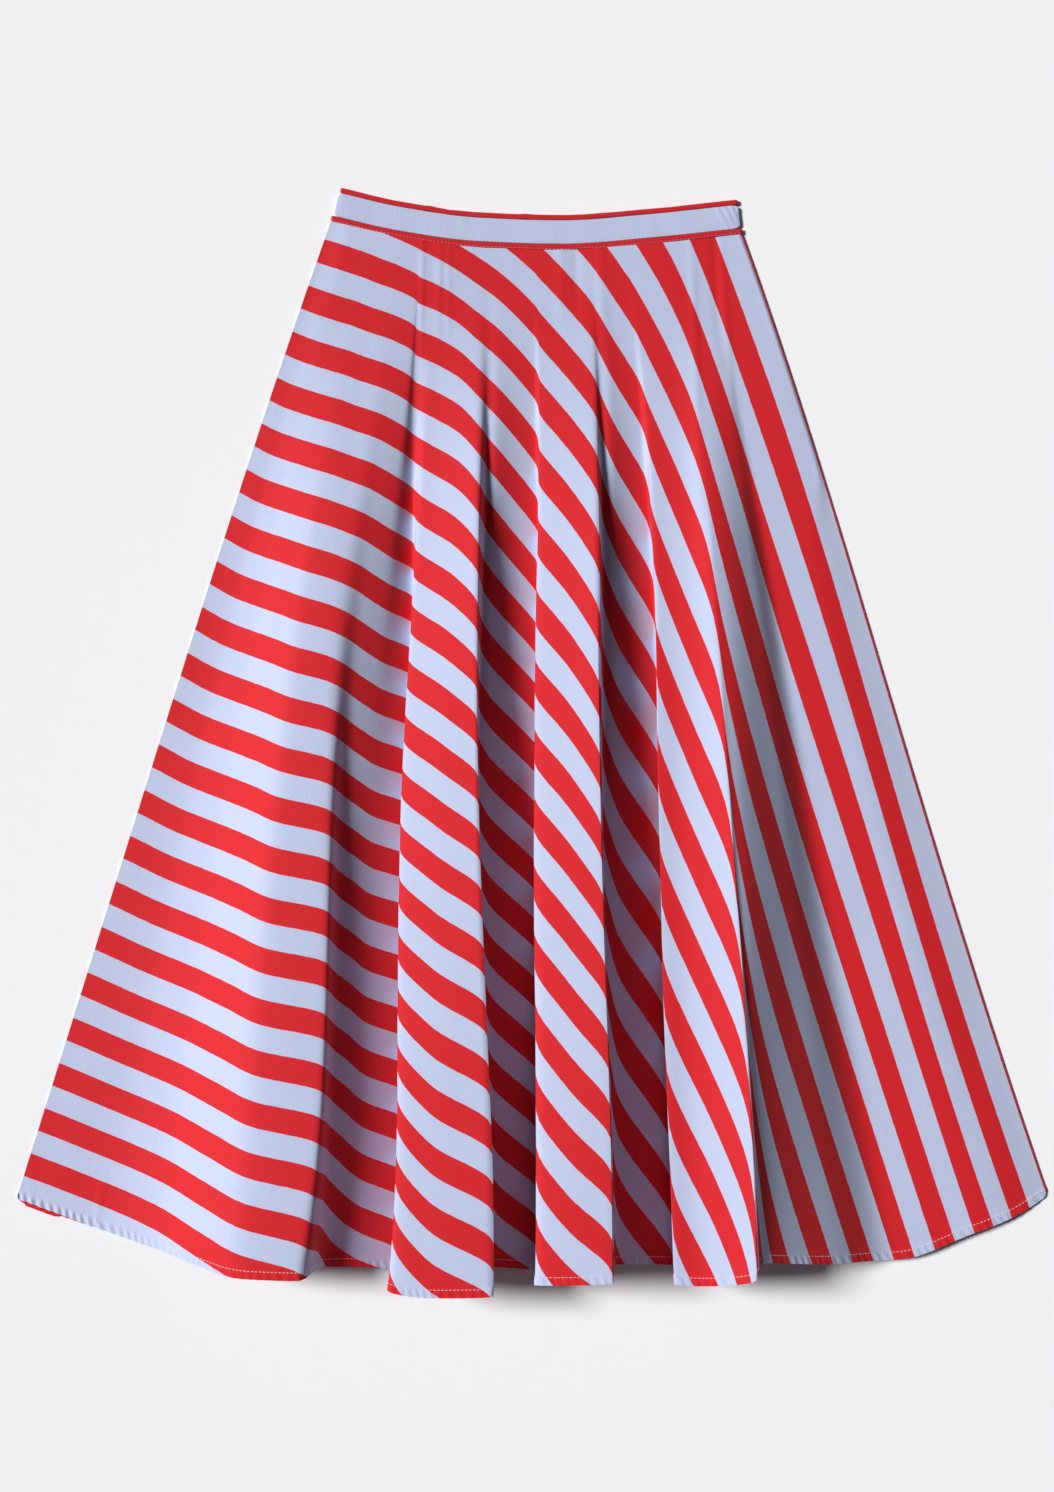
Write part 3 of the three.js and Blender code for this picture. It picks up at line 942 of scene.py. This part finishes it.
class SKIRT_OT_waistband(bpy.types.Operator):
    """Build the white waistband, front and back"""

    bl_idname = "skirt.waistband"
    bl_label = "Waistband"

    def execute(self, context):
        trim = context.scene.skirt_trim
        name = "White cotton poplin"
        white = finish(name, lambda: plain_cotton(name, trim.band_white, 0.3))
        for side, height, puckers in (
            ("front", FRONT_BAND_HEIGHT, BAND_PUCKERS),
            ("back", BACK_BAND_HEIGHT, []),
        ):
            piece, _ = band_strip(
                f"waistband_{side}_cloth",
                BAND,
                BAND_ENDS,
                trim.band_thickness / MILLIMETRE,
                height,
                BAND_SQUARENESS,
                [],
                puckers,
                white,
            )
            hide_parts(f"waistband_{side}")
        return {"FINISHED"}


class SKIRT_OT_piping(bpy.types.Operator):
    """Build the red piping on the band's top edge and in the waist seam, with its stitches"""

    bl_idname = "skirt.piping"
    bl_label = "Piping"

    def execute(self, context):
        trim = context.scene.skirt_trim
        red = finish("Red bias binding", lambda: plain_cotton("Red bias binding", trim.piping_red, 0.3))
        pink = linear(PIPING_THREAD_PINK)
        thread = finish("Red sewing thread", lambda: twisted_thread("Red sewing thread", pink))
        thickness = trim.piping_height / MILLIMETRE
        for side, height, thick in (
            ("front", FRONT_BAND_HEIGHT + PIPING_PROUD, thickness),
            ("back", BACK_BAND_HEIGHT, thickness * BACK_PIPING_PRESSED),
        ):
            for place, edges, ends, front_kinks in (
                ("top", TOP_PIPING, TOP_PIPING_ENDS, TOP_KINKS),
                ("lower", LOWER_PIPING, LOWER_PIPING_ENDS, LOWER_KINKS),
            ):
                piece, upper_side = band_strip(
                    f"{place}_piping_{side}_binding",
                    edges,
                    ends,
                    thick,
                    height,
                    PIPING_SQUARENESS,
                    front_kinks if side == "front" else [],
                    [],
                    red,
                )
                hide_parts(f"{place}_piping_{side}")
                if (place, side) == ("lower", "front"):
                    path = upper_side[PIPING_STITCH_ROW]
                    normals = facing(upper_side)[PIPING_STITCH_ROW]
                    sew("piping_stitches", path, normals, trim, PIPING_THREAD, thread)
        return {"FINISHED"}


# ---------------- side zip

ZIP_DOWN = (0.004, 0.22)  # where the zip starts and ends, as shares of the side seam's length
ZIP_TAPE_WIDTH = 13.0
ZIP_TAPE_THICKNESS = 0.5
ZIP_INSET = 7.0  # from the side seam to the tapes' outer edge
ZIP_HEIGHT = 1.5
# The tapes' section, as shares of half their width and of half their thickness
TAPE_PLACES = np.array([-1, -0.9, -0.5, -0.12, 0.12, 0.5, 0.9, 1])
TAPE_THICKNESSES = np.array([0.7, 1.2, 0.9, 1.1, 1.1, 0.9, 1.2, 0.7])
COIL_PITCH = 1.6
COIL_RAISED = 0.45
TOOTH_HALF = (0.38, 0.3)  # half a tooth's size along the zip and upwards
TOOTH_RINGS = ((-0.35, 0.55), (0, 1.0), (1.6, 1.0), (2.1, 0.6))  # reach over the middle, and girth
SLIDER_DOWN = 5.0  # from the zip's upper end to the slider's middle
SLIDER_RAISED = 0.1
SLIDER_OUTLINE = [(-4.2, 1.6), (-3.2, 2.6), (0, 3.0), (3.0, 2.2), (4.2, 1.2)]  # place, half width
SLIDER_HEIGHTS = np.array([0.3, 0.5, 0.6, 0.5, 0.3])
UP = np.array([0, 0, 1])


def zip_line(count):
    """Points along the middle of the closed zip, down the right-hand side seam."""
    down = np.linspace(*ZIP_DOWN, count)[:, None]
    edge, _ = lay_panel(BACK_FOLDS, back_base, np.array([1.0]), down)
    line = edge[:, 0]
    line[:, 0] -= ZIP_TAPE_WIDTH / 2 + ZIP_INSET
    line[:, 2] = ZIP_HEIGHT
    return line


class SKIRT_OT_side_zip(bpy.types.Operator):
    """Build the closed zip inside the right-hand side seam: its tapes, coil and slider"""

    bl_idname = "skirt.side_zip"
    bl_label = "Side zip"

    def execute(self, context):
        line = zip_line(60)
        offsets = ZIP_TAPE_WIDTH / 2 * TAPE_PLACES
        grid = line[:, None, :] + offsets[None, :, None] * np.array([1, 0, 0])
        raised = (ZIP_TAPE_THICKNESS / 2 * TAPE_THICKNESSES)[None, :, None] * UP
        tape_finish = finish("Polyester zip tape", herringbone_tape)
        tapes = add_shell("side_zip_tapes", grid + raised, grid - raised, tape_finish)
        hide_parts("side_zip")

        start, end = line[0], line[-1]
        way = (end - start) / np.linalg.norm(end - start)
        side = np.cross(UP, way)
        total = np.linalg.norm(end - start)
        points = []
        faces = []
        for k in range(int(total / COIL_PITCH) - 1):
            centre = start + way * (COIL_PITCH * (k + 1)) + UP * COIL_RAISED
            add_coil_tooth(points, faces, centre, way, side * (1 if k % 2 else -1))
        nylon = finish("Moulded nylon", moulded_nylon)
        add_piece("side_zip_coil", np.array(points), np.array(faces), nylon)

        enamel = finish("Enamelled zinc", enamelled_zinc)
        build_slider(start + way * SLIDER_DOWN + UP * SLIDER_RAISED, way, side, enamel)
        return {"FINISHED"}


def add_coil_tooth(points, faces, centre, way, side):
    """Adds one turn of the nylon coil: a small rounded block that reaches over the zip's middle."""
    first = len(points)
    long, high = TOOTH_HALF
    for reach, girth in TOOTH_RINGS:
        for across, up in ((-1, -1), (1, -1), (1, 1), (-1, 1)):
            points.append(centre + side * reach + way * across * long * girth + UP * up * high * girth)
    for ring in range(len(TOOTH_RINGS) - 1):
        for k in range(4):
            a = first + ring * 4 + k
            b = first + ring * 4 + (k + 1) % 4
            faces.append((a, b, b + 4, a + 4))
    faces.append((first + 3, first + 2, first + 1, first))
    faces.append((first + 12, first + 13, first + 14, first + 15))


def build_slider(centre, way, side, material):
    """The zip's slider: a tapered, rounded body, low enough to lie hidden between the layers."""
    across = np.linspace(-1, 1, 9)
    grid = np.array([[centre + way * y + side * w * s for s in across] for y, w in SLIDER_OUTLINE])
    high = SLIDER_HEIGHTS[:, None] * (0.35 + 0.65 * np.sqrt(1 - across**2)[None, :])
    raised = high[..., None] * UP
    return add_shell("side_zip_slider", grid + raised, grid - raised * 0.6, material)


# ---------------- stage

FLOOR_REACH = 6.0  # metres from the middle to each edge
FLOOR_BELOW = 0.0004
LAMP_PLACE = (-2.1, 0.5, 2.0)  # the key light shines from here to the middle of the skirt
VIEW_CENTRE = (-4.1, -9.1)  # the point on the floor under the camera


class SKIRT_OT_stage(bpy.types.Operator):
    """Build the paper floor, the soft lights and the camera"""

    bl_idname = "skirt.stage"
    bl_label = "Stage"

    def execute(self, context):
        scene = context.scene
        stage = scene.skirt_stage
        paper = finish("Seamless paper", lambda: seamless_paper(stage))
        mesh = bpy.data.meshes.new("floor")
        corners = [(x * FLOOR_REACH, y * FLOOR_REACH, 0) for x, y in ((-1, -1), (1, -1), (1, 1), (-1, 1))]
        mesh.from_pydata(corners, [], [(0, 1, 2, 3)])
        mesh.materials.append(paper)
        floor = bpy.data.objects.new("floor", mesh)
        floor.location.z = -FLOOR_BELOW
        scene.collection.objects.link(floor)

        light = bpy.data.lights.new("key", "SUN")
        light.energy = stage.key_power
        light.angle = stage.key_spread
        lamp = bpy.data.objects.new("key", light)
        lamp.location = LAMP_PLACE
        lamp.rotation_mode = "QUATERNION"
        lamp.rotation_quaternion = (-lamp.location).to_track_quat("-Z", "Y")
        scene.collection.objects.link(lamp)

        world = bpy.data.worlds.new("room")
        world.use_nodes = True
        background = world.node_tree.nodes["Background"]
        background.inputs["Color"].default_value = linear(ROOM_WHITE)
        background.inputs["Strength"].default_value = stage.sky
        scene.world = world

        camera = bpy.data.cameras.new("camera")
        camera.lens = stage.lens
        camera.sensor_width = 36.0
        eye = bpy.data.objects.new("camera", camera)
        eye.location = (*(place * MILLIMETRE for place in VIEW_CENTRE), stage.camera_height)
        scene.collection.objects.link(eye)
        scene.camera = eye
        scene.view_settings.view_transform = "Standard"
        return {"FINISHED"}


class SKIRT_PT_sidebar(bpy.types.Panel):
    """The skirt's pieces and their sizes"""

    bl_label = "Circle skirt"
    bl_space_type = "VIEW_3D"
    bl_region_type = "UI"
    bl_category = "Skirt"

    def draw(self, context):
        layout = self.layout
        for group in (context.scene.skirt_cloth, context.scene.skirt_trim, context.scene.skirt_stage):
            box = layout.box()
            for name in group.__annotations__:
                box.prop(group, name)
        for operator in BUILDERS:
            layout.operator(operator.bl_idname)


SETTINGS = {"skirt_cloth": SkirtCloth, "skirt_trim": SkirtTrim, "skirt_stage": SkirtStage}
BUILDERS = (
    SKIRT_OT_front_panel,
    SKIRT_OT_back_panel,
    SKIRT_OT_waistband,
    SKIRT_OT_piping,
    SKIRT_OT_side_zip,
    SKIRT_OT_stage,
)
CLASSES = (*SETTINGS.values(), *BUILDERS, SKIRT_PT_sidebar)


def register():
    """Register the classes and give each scene its settings."""
    for cls in CLASSES:
        bpy.utils.register_class(cls)
    for name, group in SETTINGS.items():
        setattr(bpy.types.Scene, name, PointerProperty(type=group))


def unregister():
    """Take the settings and the classes away again."""
    for name in SETTINGS:
        delattr(bpy.types.Scene, name)
    for cls in reversed(CLASSES):
        bpy.utils.unregister_class(cls)


def main():
    """Build the skirt and its stage."""
    register()
    for operator in BUILDERS:
        group, name = operator.bl_idname.split(".")
        getattr(getattr(bpy.ops, group), name)()


if __name__ == "__main__":
    main()
